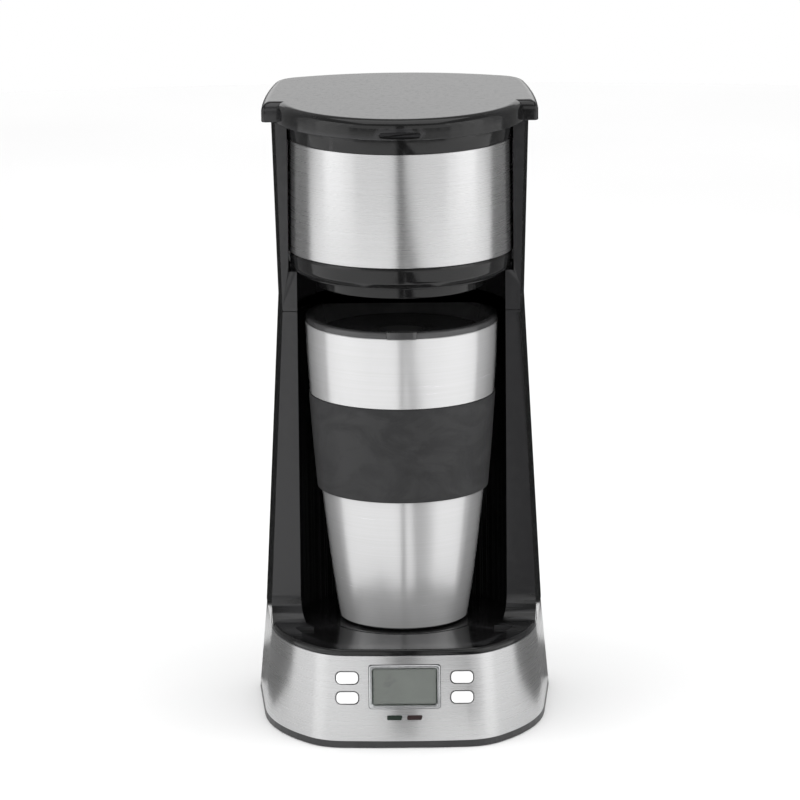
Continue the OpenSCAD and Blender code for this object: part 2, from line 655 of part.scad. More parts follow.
module lid_shell() color(black) difference() {
    lid_solid();
    slab(lid_z - eps, lid_z + 7.3) intersection() {
        lid_plan(3);
        translate([-100, -100]) square([200, 100 + hinge_y - 10.5]);
    }
    // Rear lower edge rounded about the hinge
    difference() {
        translate([-90, hinge_y, lid_z - 1]) cube([180, 20, hinge_z - lid_z + 1]);
        along_x([-91, hinge_y, hinge_z], 7, 182);
    }
    // Pockets for the hinge lugs, closed by a thin skin on top
    both_sides() {
        translate([lug_x - lug_room, hinge_y - 8.6, lid_z - 1])
            cube([2 * lug_room, 30, hinge_z + lug_r + 0.5 - lid_z + 1]);
        translate([lug_x - lug_room, hinge_y + lug_r - 0.2, lid_z]) cube([2 * lug_room, 20, 20]);
        along_x([lug_x - 5, hinge_y, hinge_z], pin_r, 10);
    }
    // Shallow scoop for the thumb
    translate([-10, -lobe_r - 5, lid_z + 0.5]) cube([20, 4.1, 3.2]);
}
module lid_liner() color(dark) difference() {
    slab(lid_z + 0.4, lid_z + 2.4) intersection() {
        lid_plan(3.1);
        translate([-100, -100]) square([200, 100 + hinge_y - 10.6]);
    }
    for (a = [0:30:330]) rotate([0, 0, a]) translate([20, 0, lid_z]) cylinder(r = 1.6, h = 5);
}
module hinge_pins() color(steel) both_sides()
    along_x([lug_x - 5, hinge_y, hinge_z], pin_r, 10);

// ---- Mug ----------------------------------------------------------------------------------------
mug_t = 0.8;
foot_z = deck_z + 0.05;
mug_z0 = deck_z + 0.9;
grip_r0 = 41.3;
grip_r1 = 45;
function shell_points(d) = [[mug_r0 - d, mug_z0], [grip_r0 - 2 - d, grip_z0 - 1],
    [grip_r0 - 1.9 - d, grip_z0], [grip_r1 - 1.2 - d, grip_z1],
    [grip_r1 - 0.4 - d, grip_z1 + 0.4], [mug_r1 - d, mug_z1]];
module mug_shell() color(steel) difference() {
    rotate_extrude() polygon(concat(shell_points(0), [[0, mug_z1], [0, mug_z0]]));
    difference() {
        rotate_extrude() polygon(concat(shell_points(mug_t), [[mug_r1 - mug_t, mug_z1 + 1], [0, mug_z1 + 1],
            [0, mug_z0]]));
        cylinder(r = 60, h = mug_z0 + mug_t);
    }
}
cup_r0 = 27.5;
cup_r1 = 42.6;
cup_z = mug_z0 + 4;
module mug_liner() color(dark) rotate_extrude() polygon([[0, cup_z], [cup_r0, cup_z],
    [cup_r1, mug_z1 - 3.6],
    [mug_r1 - mug_t - 0.2, mug_z1 - 2.4], [mug_r1 - mug_t - 0.1, mug_z1], [mug_r1 - mug_t - 1, mug_z1],
    [cup_r1 - 1, mug_z1 - 3.4], [cup_r0 - 1, cup_z + 1], [0, cup_z + 1]]);
module mug_grip() color(rubber) rotate_extrude() polygon([[grip_r0 - 1.9, grip_z0], [grip_r0, grip_z0],
    [grip_r1, grip_z1], [grip_r1 - 1.2, grip_z1]]);
module mug_foot() color(dark) rotate_extrude()
    polygon([[21, mug_z0], [22, foot_z], [28, foot_z], [29, mug_z0]]);

cap_z = mug_z1 + 0.1;
plug_r = cup_r1 - 2.2;
funnel_r = 14;
module mug_lid_cap() color(dark) {
    rotate_extrude() polygon([[mug_r1, cap_z], [mug_r1, cap_z + 2], [mug_r1 - 0.8, cap_z + 2.9],
        [43.4, cap_z + 2.9], [42.4, cap_z + 2], [plug_r - 1.3, cap_z - 6], [funnel_r + 1, cap_z - 7],
        [funnel_r, cap_z - 7.6], [9.5, cap_z - 13], [11, cap_z - 13], [funnel_r + 1.5, cap_z - 8.6],
        [plug_r - 0.6, cap_z - 8.6], [plug_r - 0.6, cap_z - 6.8], [plug_r - 0.6, cap_z - 5.2],
        [plug_r, cap_z - 4.4], [43.6, cap_z]]);
    translate([-8.5, -mug_r1 - 1.2, cap_z + 0.4]) cube([17, 4, 3]);
}
module mug_lid_seal() color(rubber) ring(plug_r - 0.6, cup_r1 - 1.7, cap_z - 8.2, cap_z - 6.8);

bottom_cover();
rubber_feet();
cover_screws();
lower_body();
deck_plate();
steel_band();
lcd_frame();
lcd_window();
lcd_module();
button_guide();
led_lens_left();
led_lens_right();
control_board();
tact_switches();
indicator_leds();
power_board();
power_parts();
board_screws();
heater_block();
heater_element();
heater_bracket();
bracket_screws();
thermostat();
thermal_fuse();
cold_hose();
hot_hose();
hose_clips();
valve_body();
check_ball();
riser_tube();
water_spout();
cord_gland();
mains_wires();
panel_wires();
upper_body();
water_tank();
tank_seal();
head_bottom_ring();
head_steel_sleeve();
head_top_ring();
brew_basket();
filter_frame();
filter_mesh();
lid_shell();
lid_liner();
hinge_pins();
button_program();
button_hour();
button_power();
button_minute();
mug_shell();
mug_liner();
mug_grip();
mug_foot();
mug_lid_cap();
mug_lid_seal();
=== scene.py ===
import math

import bmesh
import bpy
from mathutils import Matrix, Vector


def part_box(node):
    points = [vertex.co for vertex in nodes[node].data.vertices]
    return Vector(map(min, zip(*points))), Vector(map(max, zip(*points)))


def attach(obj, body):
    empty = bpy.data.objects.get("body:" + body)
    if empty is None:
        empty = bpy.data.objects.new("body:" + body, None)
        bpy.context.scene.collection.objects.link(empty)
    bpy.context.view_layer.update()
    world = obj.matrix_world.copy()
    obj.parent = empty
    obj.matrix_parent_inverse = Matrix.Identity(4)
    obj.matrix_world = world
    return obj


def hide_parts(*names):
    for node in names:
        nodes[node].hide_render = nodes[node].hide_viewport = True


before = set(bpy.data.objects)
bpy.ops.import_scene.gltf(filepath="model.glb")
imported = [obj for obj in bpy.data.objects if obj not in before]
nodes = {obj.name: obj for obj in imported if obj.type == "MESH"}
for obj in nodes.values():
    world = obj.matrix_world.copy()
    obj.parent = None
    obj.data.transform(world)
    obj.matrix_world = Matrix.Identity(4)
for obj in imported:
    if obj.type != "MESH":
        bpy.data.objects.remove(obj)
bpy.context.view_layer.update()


# ---- Sizes, from the frame ---------------------------------------------------------------------
def sin_d(angle):
    return math.sin(math.radians(angle))


def cos_d(angle):
    return math.cos(math.radians(angle))


def low(node):
    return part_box(node)[0]


def high(node):
    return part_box(node)[1]


HALF_W = high("bottom_cover")[0]
BASE_FRONT = -0.0745
BASE_BACK = 0.0745
FRONT_R = 0.360
NOSE_R = 0.024
CORNER_R = 0.0835
REAR_R = 0.030
BACK_R = 0.160
BAND_Z0 = low("steel_band")[2]
BAND_Z1 = high("steel_band")[2]
BAND_K0 = 0.997
BAND_K1 = 0.946
RIM_K = 0.947
WAIST_K = 0.839
TOP_K = 0.877
RIM_Z = BAND_Z1 + 0.003
DECK_Z = high("deck_plate")[2]
WAIST_Z = high("lower_body")[2]
BODY_TOP = high("head_top_ring")[2]
RIM_W = 0.009
RIM_ROUND = 0.0016
WALL = 0.0024
STEEL_T = 0.0008
NICHE_R = 0.0515
COLUMN_Y = 0.0125
SWEEP_R = 0.015
HEAD_R = 0.0545
HEAD_Z0 = high("head_bottom_ring")[2] - 0.0097
SLEEVE_Z0 = low("head_steel_sleeve")[2]
SLEEVE_Z1 = high("head_steel_sleeve")[2]
GROOVE_Y = 0.0085
GROOVE_R = 0.0554
LID_Z = low("lid_shell")[2]
LID_TOP = high("lid_shell")[2]


# ---- Mesh tools --------------------------------------------------------------------------------
def mesh_object(name, points, faces):
    mesh = bpy.data.meshes.new(name)
    mesh.from_pydata([tuple(p) for p in points], [], faces)
    mesh.validate()
    piece = bpy.data.objects.new(name, mesh)
    bpy.context.collection.objects.link(piece)
    return piece


def clean(piece, merge=1e-6):
    """Welds doubled points and makes the faces point outwards."""
    work = bmesh.new()
    work.from_mesh(piece.data)
    bmesh.ops.remove_doubles(work, verts=work.verts, dist=merge)
    bmesh.ops.dissolve_degenerate(work, edges=work.edges, dist=merge)
    bmesh.ops.recalc_face_normals(work, faces=work.faces)
    work.to_mesh(piece.data)
    work.free()
    return piece


def loft(name, rings, closed=False):
    """A skin over closed rings of points; the ends are capped unless the rings close on themselves."""
    count = len(rings[0])
    points = [p for ring in rings for p in ring]
    faces = []
    for i in range(len(rings) if closed else len(rings) - 1):
        a, b = i * count, ((i + 1) % len(rings)) * count
        faces += [(a + j, a + (j + 1) % count, b + (j + 1) % count, b + j) for j in range(count)]
    if not closed:
        faces.append(tuple(reversed(range(count))))
        faces.append(tuple(range(len(points) - count, len(points))))
    return clean(mesh_object(name, points, faces))


def lathe(name, profile, segments=192, start=0.0, sweep=360.0):
    """A closed profile of (radius, height) turned about Z; a part turn gets flat ends."""
    full = sweep >= 360
    steps = segments if full else segments + 1
    rings = []
    for i in range(steps):
        a = start + sweep * i / segments
        rings.append([(r * cos_d(a), r * sin_d(a), z) for r, z in profile])
    return loft(name, rings, closed=full)


def rounded(points, radius, steps=5, closed=True):
    """The outline with each corner replaced by an arc; a point may carry its own radius."""
    out = []
    count = len(points)
    for i, p in enumerate(points):
        here = Vector(p[:2])
        r = p[2] if len(p) > 2 else radius
        if r == 0 or (not closed and i in (0, count - 1)):
            out.append(tuple(here))
            continue
        a = (Vector(points[i - 1][:2]) - here)
        b = (Vector(points[(i + 1) % count][:2]) - here)
        turn = a.angle(b)
        reach = min(r / math.tan(turn / 2), a.length * 0.49, b.length * 0.49)
        r = reach * math.tan(turn / 2)
        middle = here + (a.normalized() + b.normalized()).normalized() * (r / math.sin(turn / 2))
        first = here + a.normalized() * reach - middle
        last = here + b.normalized() * reach - middle
        swing = first.angle_signed(last)
        for k in range(steps + 1):
            out.append(tuple(middle + Matrix.Rotation(-swing * k / steps, 2) @ first))
    return out


def box_between(name, lowest, highest):
    xs, ys, zs = zip(lowest, highest)
    rings = [[(xs[0], ys[0], z), (xs[1], ys[0], z), (xs[1], ys[1], z), (xs[0], ys[1], z)] for z in zs]
    return loft(name, rings)


def drum(name, radius, z0, z1, segments=192):
    return lathe(name, [(0, z0), (radius, z0), (radius, z1), (0, z1)], segments)


def bake(piece):
    """Applies the piece's modifiers."""
    bpy.context.view_layer.update()
    graph = bpy.context.evaluated_depsgraph_get()
    done = bpy.data.meshes.new_from_object(piece.evaluated_get(graph))
    piece.modifiers.clear()
    piece.data = done
    return piece


def combine(piece, tool, how="DIFFERENCE"):
    """Cuts the tool out of the piece, adds it or keeps what they share; the tool goes."""
    step = piece.modifiers.new("combine", "BOOLEAN")
    step.operation = how
    step.solver = "EXACT"
    step.object = tool
    bake(piece)
    bpy.data.objects.remove(tool)
    return piece


def soften(piece, width, segments=3, angle=32.0):
    """Smooth shading with small round edges where two faces meet at more than the angle."""
    for face in piece.data.polygons:
        face.use_smooth = True
    step = piece.modifiers.new("edges", "BEVEL")
    step.width = width
    step.segments = segments
    step.limit_method = "ANGLE"
    step.angle_limit = math.radians(angle)
    step.miter_outer = "MITER_ARC"
    even = piece.modifiers.new("even", "WEIGHTED_NORMAL")
    even.weight = 80
    even.keep_sharp = True
    return piece


def smooth(piece, angle=35.0):
    piece.data.shade_smooth()
    piece.data.set_sharp_from_angle(angle=math.radians(angle))
    return piece


def finish_piece(piece, body, material, slot, *stands_for):
    piece.data.materials.clear()
    piece.data.materials.append(material)
    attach(piece, body)
    if stands_for:
        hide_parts(*stands_for)
    return piece


# ---- Outlines in plan --------------------------------------------------------------------------
def arc(centre, radius, first, last, steps):
    angles = [first + (last - first) * i / steps for i in range(steps + 1)]
    return [Vector((centre[0] + radius * cos_d(a), centre[1] + radius * sin_d(a))) for a in angles]


def mirror_half(half):
    return half + [Vector((-p.x, p.y)) for p in reversed(half)]


def heading(v):
    return math.degrees(math.atan2(v[1], v[0]))


def turned(angle):
    """Direction away from the centre of an arc once the outline has turned by the angle."""
    return Vector((sin_d(angle), -cos_d(angle)))


FRONT_A = 4.8
NOSE_A = 47
FRONT_C = Vector((0, BASE_FRONT + FRONT_R))
NOSE_C = FRONT_C + (FRONT_R - NOSE_R) * turned(FRONT_A)
CORNER_C = NOSE_C + (NOSE_R - CORNER_R) * turned(NOSE_A)
BACK_A = math.degrees(math.asin((HALF_W - REAR_R) / (BACK_R - REAR_R)))
BACK_C = Vector((0, BASE_BACK - BACK_R))
REAR_C = Vector((HALF_W - REAR_R, BASE_BACK - BACK_R + (BACK_R - REAR_R) * cos_d(BACK_A)))
SIDE_V = REAR_C - CORNER_C
SIDE_A = heading(SIDE_V) - math.degrees(math.acos((CORNER_R - REAR_R) / SIDE_V.length))


def plan(k, d=0.0):
    """Plan of the machine, scaled by k and moved outwards by d."""
    half = arc(k * FRONT_C, k * FRONT_R + d, -90 + FRONT_A * 0.1, -90 + FRONT_A * 0.9, 6)
    half += arc(k * NOSE_C, k * NOSE_R + d, -90 + FRONT_A, -90 + NOSE_A, 18)
    half += arc(k * CORNER_C, k * CORNER_R + d, -90 + NOSE_A + 2.4, SIDE_A, 18)
    side_end = k * REAR_C + (k * REAR_R + d) * Vector((cos_d(SIDE_A), sin_d(SIDE_A)))
    side_start = half[-1]
    half += [side_start.lerp(side_end, t / 6) for t in range(1, 6)]
    half += arc(k * REAR_C, k * REAR_R + d, SIDE_A, 90 - BACK_A, 24)
    half += arc(k * BACK_C, k * BACK_R + d, 90 - BACK_A * 0.8, 90 - BACK_A * 0.1, 5)
    return mirror_half(half)


def level(outline, z):
    return [(p.x, p.y, z) for p in outline]


def flared(name, stages):
    """A solid through stages of (height, scale, outward shift)."""
    return loft(name, [level(plan(k, d), z) for z, k, d in stages])


def band_k(z):
    return BAND_K0 + (BAND_K1 - BAND_K0) * (z - BAND_Z0) / (BAND_Z1 - BAND_Z0)


def waist_k(z):
    return RIM_K + (WAIST_K - RIM_K) * (z - RIM_Z) / (WAIST_Z - RIM_Z)


def top_k(z):
    return WAIST_K + (TOP_K - WAIST_K) * (z - WAIST_Z) / (BODY_TOP - WAIST_Z)


def band_y(x, z):
    """Front face of the steel band at x, z, within the bowed front."""
    k = band_k(z)
    return k * FRONT_C.y - math.sqrt((k * FRONT_R) ** 2 - x * x)


# ---- Camera and studio -------------------------------------------------------------------------
CAMERA_AT = Vector((-0.001, -2.9, 0.83))
CAMERA_TO = Vector((-0.001, 0, 0.158))
CAMERA_ROLL = -0.5
LENS = 277.3
SHIFT_Y = -0.0119


def make_camera():
    data = bpy.data.cameras.new("camera")
    camera = bpy.data.objects.new("camera", data)
    bpy.context.collection.objects.link(camera)
    look = CAMERA_TO - CAMERA_AT
    aim = look.to_track_quat("-Z", "Y").to_matrix().to_4x4()
    roll = Matrix.Rotation(math.radians(CAMERA_ROLL), 4, "Z")
    camera.matrix_world = Matrix.Translation(CAMERA_AT) @ aim @ roll
    data.lens = LENS
    data.shift_y = SHIFT_Y
    data.clip_start = 0.1
    data.clip_end = 50
    bpy.context.scene.camera = camera


def softbox(name, azimuth, elevation, distance, width, height, glow, aim=(0, 0, 0.16)):
    """A soft light at an azimuth counted from the front, positive to the right, as bright as glow."""
    data = bpy.data.lights.new(name, "AREA")
    data.shape = "RECTANGLE"
    data.size = width
    data.size_y = height
    data.energy = glow * math.pi * width * height
    lamp = bpy.data.objects.new(name, data)
    bpy.context.collection.objects.link(lamp)
    way = Vector((*turned(azimuth) * cos_d(elevation), sin_d(elevation)))
    lamp.location = Vector(aim) + way * distance
    lamp.rotation_euler = way.to_track_quat("Z", "Y").to_euler()


def background(tree, strength):
    node = tree.nodes.new("ShaderNodeBackground")
    node.inputs["Color"].default_value = (1, 1, 1, 1)
    node.inputs["Strength"].default_value = strength
    return node.outputs[0]


def dark_cloth(name, first, last, profile, shade):
    """A studio flag between two azimuths, with a profile of (radius, height)."""
    steps = max(2, round(abs(last - first) / 4))
    ends = [turned(first + (last - first) * i / steps) for i in range(steps + 1)]
    points = [(*radius * end, z) for radius, z in profile for end in ends]
    faces = [(row + i, row + i + 1, row + steps + 2 + i, row + steps + 1 + i)
             for row in range(0, len(points) - steps - 1, steps + 1) for i in range(steps)]
    hang(mesh_object(name, points, faces), shade)


def hang(cloth, shade):
    """Makes a sheet a flag of dark felt: it darkens reflections and does nothing else."""
    cloth.data.materials.append(soft_rubber(cloth.name + "_felt", grey(shade), 0.9))
    for ray in ("camera", "diffuse", "transmission", "shadow", "volume_scatter"):
        setattr(cloth, "visible_" + ray, False)


# Brightness of the side lights by azimuth, fading out towards the rear
SIDE_GLOW = ((52, 0.95), (64, 1.2), (76, 1.3), (88, 0.72), (100, 0.4), (112, 0.3))


# The floor ends where the side lights stop lighting it
FLOOR_R = 1.72


def make_studio():
    rim = arc((0, 0), FLOOR_R, 0, 357.5, 143)
    floor = mesh_object("floor", [(p.x, p.y, 0) for p in rim], [tuple(range(len(rim)))])
    floor.data.materials.append(floor_paint())
    world = bpy.data.worlds.new("studio")
    bpy.context.scene.world = world
    world.use_nodes = True
    tree = world.node_tree
    tree.nodes.clear()
    out = tree.nodes.new("ShaderNodeOutputWorld")
    rays = tree.nodes.new("ShaderNodeLightPath")
    light = background(tree, 0.3)
    for ray, strength in (("Is Diffuse Ray", 0.8), ("Is Camera Ray", 1.0)):
        mix = tree.nodes.new("ShaderNodeMixShader")
        tree.links.new(rays.outputs[ray], mix.inputs["Fac"])
        tree.links.new(light, mix.inputs[1])
        tree.links.new(background(tree, strength), mix.inputs[2])
        light = mix.outputs[0]
    tree.links.new(light, out.inputs["Surface"])
    for side, name in ((-1, "left"), (1, "right")):
        softbox(name + "_front", side * 24, 16, 2.3, 1.85, 1.6, 0.78)
        for azimuth, glow in SIDE_GLOW:
            softbox(name + "_%d" % azimuth, side * azimuth, 12, 1.7, 0.36, 1.8, glow)
        dark_cloth(name + "_mat", side * 90, side * 140, [(0.088, 0.001), (0.17, 0.012)], 0.16)
        dark_cloth(name + "_cloth", side * 92, side * 140, [(0.17, 0.012), (0.19, 0.5)], 0.22)
    softbox("top", 0, 88, 1.8, 1.8, 1.8, 1.2)
    softbox("back", 180, 14, 2.6, 3.0, 0.9, 0.75)
    dark_cloth("front_cloth", -3.4, 3.4, [(0.12, 0.002), (0.6, 0.004), (0.6, 0.8)], 0.02)
    dark_cloth("back_cloth", 140, 220, [(0.17, 0.012), (0.17, 0.29)], 0.01)
    mat = [(0.05, -2.2), (0.16, -2.2), (0.16, -0.14), (0.05, -0.14)]
    hang(mesh_object("front_mat", [(x, y, 0.003) for x, y in mat], [(0, 1, 2, 3)]), 0.02)
    bpy.context.scene.view_settings.view_transform = "Standard"


# ---- Materials ---------------------------------------------------------------------------------
class Paint:
    """A Principled material, with short ways to add texture nodes that drive its sockets."""

    def __init__(self, name, **sockets):
        self.material = bpy.data.materials.new(name)
        self.material.use_nodes = True
        self.tree = self.material.node_tree
        self.tree.nodes.clear()
        self.shader = self.tree.nodes.new("ShaderNodeBsdfPrincipled")
        out = self.tree.nodes.new("ShaderNodeOutputMaterial")
        self.tree.links.new(self.shader.outputs[0], out.inputs["Surface"])
        for key, value in sockets.items():
            label = key.replace("_", " ").title().replace("Ior", "IOR")
            self.shader.inputs[label].default_value = value
        self.place = None

    def node(self, kind, inputs=(), **settings):
        made = self.tree.nodes.new("ShaderNode" + kind)
        for key, value in settings.items():
            setattr(made, key, value)
        for key, value in dict(inputs).items():
            if isinstance(value, bpy.types.NodeSocket):
                self.tree.links.new(value, made.inputs[key])
            else:
                made.inputs[key].default_value = value
        return made

    def coords(self, stretch=(1, 1, 1)):
        if self.place is None:
            self.place = self.node("TexCoord")
        return self.node("Mapping", {"Vector": self.place.outputs["Object"], "Scale": stretch}).outputs[0]

    def noise(self, scale, detail=4, rough=0.5, stretch=(1, 1, 1), twist=0.0):
        inputs = {"Vector": self.coords(stretch), "Scale": scale, "Detail": detail, "Roughness": rough,
                  "Distortion": twist}
        return self.node("TexNoise", inputs).outputs["Fac"]

    def spread(self, value, low_in, high_in, low_out, high_out):
        inputs = {"Value": value, "From Min": low_in, "From Max": high_in,
                  "To Min": low_out, "To Max": high_out}
        return self.node("MapRange", inputs).outputs[0]

    def blend(self, value, dark, light, low_in=0.35, high_in=0.65):
        """A colour between dark and light as the value goes through its range."""
        ramp = self.node("ValToRGB", {"Fac": value})
        ramp.color_ramp.elements[0].position = low_in
        ramp.color_ramp.elements[0].color = (*dark, 1)
        ramp.color_ramp.elements[1].position = high_in
        ramp.color_ramp.elements[1].color = (*light, 1)
        return ramp.outputs["Color"]

    def bump(self, height, depth, strength=1.0, under=None):
        inputs = {"Height": height, "Distance": depth, "Strength": strength}
        if under is not None:
            inputs["Normal"] = under
        return self.node("Bump", inputs).outputs[0]

    def drive(self, **sources):
        for key, value in sources.items():
            self.tree.links.new(value, self.shader.inputs[key.replace("_", " ").title()])
        return self.material


def grey(value, tint=0.0):
    return (value, value, value * (1 + tint))


def moulded(name, colour, rough, spread=0.06, grain=2600, depth=0.000004, ior=1.5, coat=0.0):
    """Moulded plastic: fine surface grain, soft flow variation and a slightly uneven gloss."""
    paint = Paint(name, ior=ior, coat_weight=coat, coat_roughness=0.06)
    fine = paint.noise(grain, 2, 0.6)
    flow = paint.noise(38, 5, 0.55, twist=0.6)
    light = tuple(min(1.0, c * 1.25 + 0.002) for c in colour)
    dark = tuple(c * 0.85 for c in colour)
    return paint.drive(
        base_color=paint.blend(flow, dark, light),
        roughness=paint.spread(flow, 0.3, 0.7, max(0.02, rough - spread), rough + spread),
        normal=paint.bump(fine, depth, 0.5))


def gloss_black(name, rough=0.13, depth=0.0000016):
    """Polished black moulding: faint ripple and a little dust in the gloss; convex edges painted paler
    grey, a painted highlight.
    """
    paint = Paint(name, ior=1.5, specular_ior_level=0.42)
    ripple = paint.noise(55, 3, 0.5, twist=0.3)
    fine = paint.noise(3200, 2, 0.6)
    dust = paint.noise(420, 6, 0.7)
    # Convex edges, found by pointiness, are painted paler grey: a painted edge highlight.
    painted_edge_highlight = paint.spread(paint.node("NewGeometry").outputs["Pointiness"], 0.52, 0.6, 0.0, 1.0)
    gloss = paint.spread(dust, 0.45, 0.75, rough * 0.8, rough * 1.9)
    shade = paint.node("Mix", {"Factor": painted_edge_highlight, "A": paint.blend(ripple, grey(0.0045), grey(0.0075, 0.05)),
                               "B": (0.02, 0.02, 0.021, 1)}, data_type="RGBA")
    colour = next(s for s in shade.outputs if s.type == "RGBA" and s.enabled)
    soft = paint.bump(ripple, 0.00006, 0.16)
    return paint.drive(base_color=colour, roughness=gloss, normal=paint.bump(fine, depth, 0.5, soft))


def brushed(name, rough=0.28, light=0.61, dark=0.56, anisotropic=0.75, metallic=1.0):
    """Stainless steel brushed round the Z axis: long horizontal hairlines of mixed depth."""
    paint = Paint(name, metallic=metallic, anisotropic=anisotropic, anisotropic_rotation=0.25)
    hair = paint.noise(1.0, 3, 0.75, stretch=(16, 16, 4200))
    band = paint.noise(1.0, 5, 0.7, stretch=(7, 7, 1300))
    cloud = paint.noise(22, 3, 0.5)
    mixed = paint.node("Math", {0: hair, 1: band}, operation="ADD").outputs[0]
    lines = paint.spread(mixed, 0.6, 1.4, 0, 1)
    paint.drive(
        base_color=paint.blend(lines, grey(dark), grey(light, 0.01), 0.1, 0.9),
        roughness=paint.spread(mixed, 0.6, 1.4, rough - 0.03, rough + 0.03),
        normal=paint.bump(hair, 0.000001, 0.25, paint.bump(cloud, 0.00005, 0.07)))
    tangent = paint.node("Tangent", direction_type="RADIAL", axis="Z")
    paint.tree.links.new(tangent.outputs[0], paint.shader.inputs["Tangent"])
    return paint.material


def turned_metal(name, colour, rough=0.3, scale=900, depth=0.00001):
    """Plain or cast metal with a mottled skin."""
    paint = Paint(name, metallic=1.0)
    mottle = paint.noise(scale, 4, 0.6)
    stain = paint.noise(60, 3, 0.5)
    dark = tuple(c * 0.75 for c in colour)
    return paint.drive(base_color=paint.blend(stain, dark, colour),
                       roughness=paint.spread(mottle, 0.3, 0.7, rough * 0.75, rough * 1.3),
                       normal=paint.bump(mottle, depth, 0.5))


def grip_rubber(name):
    """Matt grey rubber with a faint marbled, scuffed skin."""
    paint = Paint(name, specular_ior_level=0.35, sheen_weight=0.08, sheen_roughness=0.5)
    swirl = paint.noise(26, 6, 0.62, stretch=(1, 1, 1.9), twist=1.6)
    middle = paint.node("Math", {0: swirl, 1: 0.5}, operation="SUBTRACT").outputs[0]
    vein = paint.spread(middle, -0.09, 0.09, 0, 1)
    fold = paint.node("Math", {0: vein, 1: 2.0}, operation="PINGPONG").outputs[0]
    scuff = paint.noise(190, 5, 0.7, stretch=(1, 1, 0.35))
    fine = paint.noise(1500, 3, 0.6)
    both = paint.node("Math", {0: fold, 1: scuff}, operation="MULTIPLY").outputs[0]
    dark, light = (0.014, 0.014, 0.015), (0.028, 0.028, 0.029)
    return paint.drive(base_color=paint.blend(both, dark, light, 0.1, 0.75),
                       roughness=paint.spread(scuff, 0.3, 0.7, 0.5, 0.68),
                       normal=paint.bump(fine, 0.00002, 0.5, paint.bump(both, 0.00006, 0.5)))


def soft_rubber(name, colour, rough=0.62):
    paint = Paint(name, specular_ior_level=0.3)
    fine = paint.noise(1800, 3, 0.6)
    dust = paint.noise(120, 4, 0.6)
    light = tuple(c * 1.4 for c in colour)
    return paint.drive(base_color=paint.blend(dust, colour, light),
                       roughness=paint.spread(dust, 0.3, 0.7, rough - 0.08, rough + 0.1),
                       normal=paint.bump(fine, 0.00002, 0.5))


def clear_plastic(name, colour, rough=0.06, weight=0.9):
    paint = Paint(name, transmission_weight=weight, ior=1.49)
    film = paint.noise(70, 4, 0.5)
    dark = tuple(c * 0.93 for c in colour)
    return paint.drive(base_color=paint.blend(film, dark, colour),
                       roughness=paint.spread(film, 0.3, 0.7, rough * 0.6, rough * 1.5))


def lens_plastic(name, colour):
    """A dark tinted indicator lens, polished, with a faint moulded ripple."""
    paint = Paint(name, ior=1.5, coat_weight=0.6, coat_roughness=0.05, roughness=0.2)
    ripple = paint.noise(700, 3, 0.5)
    light = tuple(c * 1.6 for c in colour)
    return paint.drive(base_color=paint.blend(ripple, colour, light),
                       normal=paint.bump(ripple, 0.00002, 0.4))


def circuit_board(name):
    """Green solder mask with paler tracks under it."""
    paint = Paint(name, ior=1.5)
    cells = paint.node("TexBrick", {"Vector": paint.coords(), "Scale": 260.0, "Mortar Size": 0.035})
    cells.inputs["Color1"].default_value = (0.012, 0.09, 0.035, 1)
    cells.inputs["Color2"].default_value = (0.016, 0.11, 0.045, 1)
    cells.inputs["Mortar"].default_value = (0.03, 0.2, 0.08, 1)
    fine = paint.noise(900, 3, 0.5)
    return paint.drive(base_color=cells.outputs["Color"],
                       roughness=paint.spread(fine, 0.3, 0.7, 0.25, 0.4),
                       normal=paint.bump(cells.outputs["Fac"], 0.00003, 0.4))


def filter_gauze(name):
    """Gold-tone woven mesh: fine crossing wires."""
    paint = Paint(name, metallic=1.0)
    wires = []
    for direction in ("X", "Z"):
        wave = paint.node("TexWave", {"Vector": paint.coords(), "Scale": 420.0}, wave_type="BANDS",
                          bands_direction=direction)
        wires.append(wave.outputs["Fac"])
    weave = paint.node("Math", {0: wires[0], 1: wires[1]}, operation="MAXIMUM").outputs[0]
    return paint.drive(base_color=paint.blend(weave, (0.05, 0.035, 0.015), (0.62, 0.46, 0.2), 0.3, 0.7),
                       roughness=paint.spread(weave, 0, 1, 0.6, 0.3),
                       normal=paint.bump(weave, 0.00008, 0.8))


def floor_paint():
    paint = Paint("floor_paint", specular_ior_level=0.1)
    flow = paint.noise(3, 2, 0.5)
    return paint.drive(base_color=paint.blend(flow, grey(0.9), grey(0.92)),
                       roughness=paint.spread(flow, 0.3, 0.7, 0.7, 0.8))


# ---- Base and columns --------------------------------------------------------------------------
PANEL_TILT = math.atan((BAND_K0 - BAND_K1) * BASE_BACK / (BAND_Z1 - BAND_Z0))
BUTTON_X = 0.0274
BUTTON_Z = (0.0243, 0.0339)
BUTTON_W = 0.0105
BUTTON_H = 0.0056
BUTTON_PROUD = 0.0009
LCD_Z = 0.0297
LCD_W = 0.034
LCD_H = 0.021
LED_X = 0.0048
LED_Z = 0.0148
GLAND_X = 0.030
GLAND_Z = 0.015
GLAND_R = 0.005
FAR = 0.2


def pill(width, height, radius, steps=8):
    """A rectangle with round corners, about the origin."""
    x, z = width / 2, height / 2
    return rounded([(-x, -z), (x, -z), (x, z), (-x, z)], radius, steps)


def on_panel(name, x, z, stages):
    """A solid on the tilted panel at x, z: stages of (depth, outline), depth counted inwards."""
    place = Matrix.Translation((x, band_y(x, z), z)) @ Matrix.Rotation(-PANEL_TILT, 4, "X")
    rings = [[place @ Vector((px, depth, pz)) for px, pz in outline] for depth, outline in stages]
    return loft(name, rings)


def display_outline(less, radius):
    """The outline of the display, smaller by less."""
    return pill(LCD_W - less, LCD_H - less, radius)


def led_outline(grow=0.0):
    slant = [(-0.0035, -0.00095), (0.0029, -0.00095), (0.0035, 0.00095), (-0.0035, 0.00095)]
    return rounded([(x + math.copysign(grow, x), z + math.copysign(grow, z)) for x, z in slant], 0.0005, 4)


def panel_places():
    return [(side * BUTTON_X, z) for side in (-1, 1) for z in BUTTON_Z]


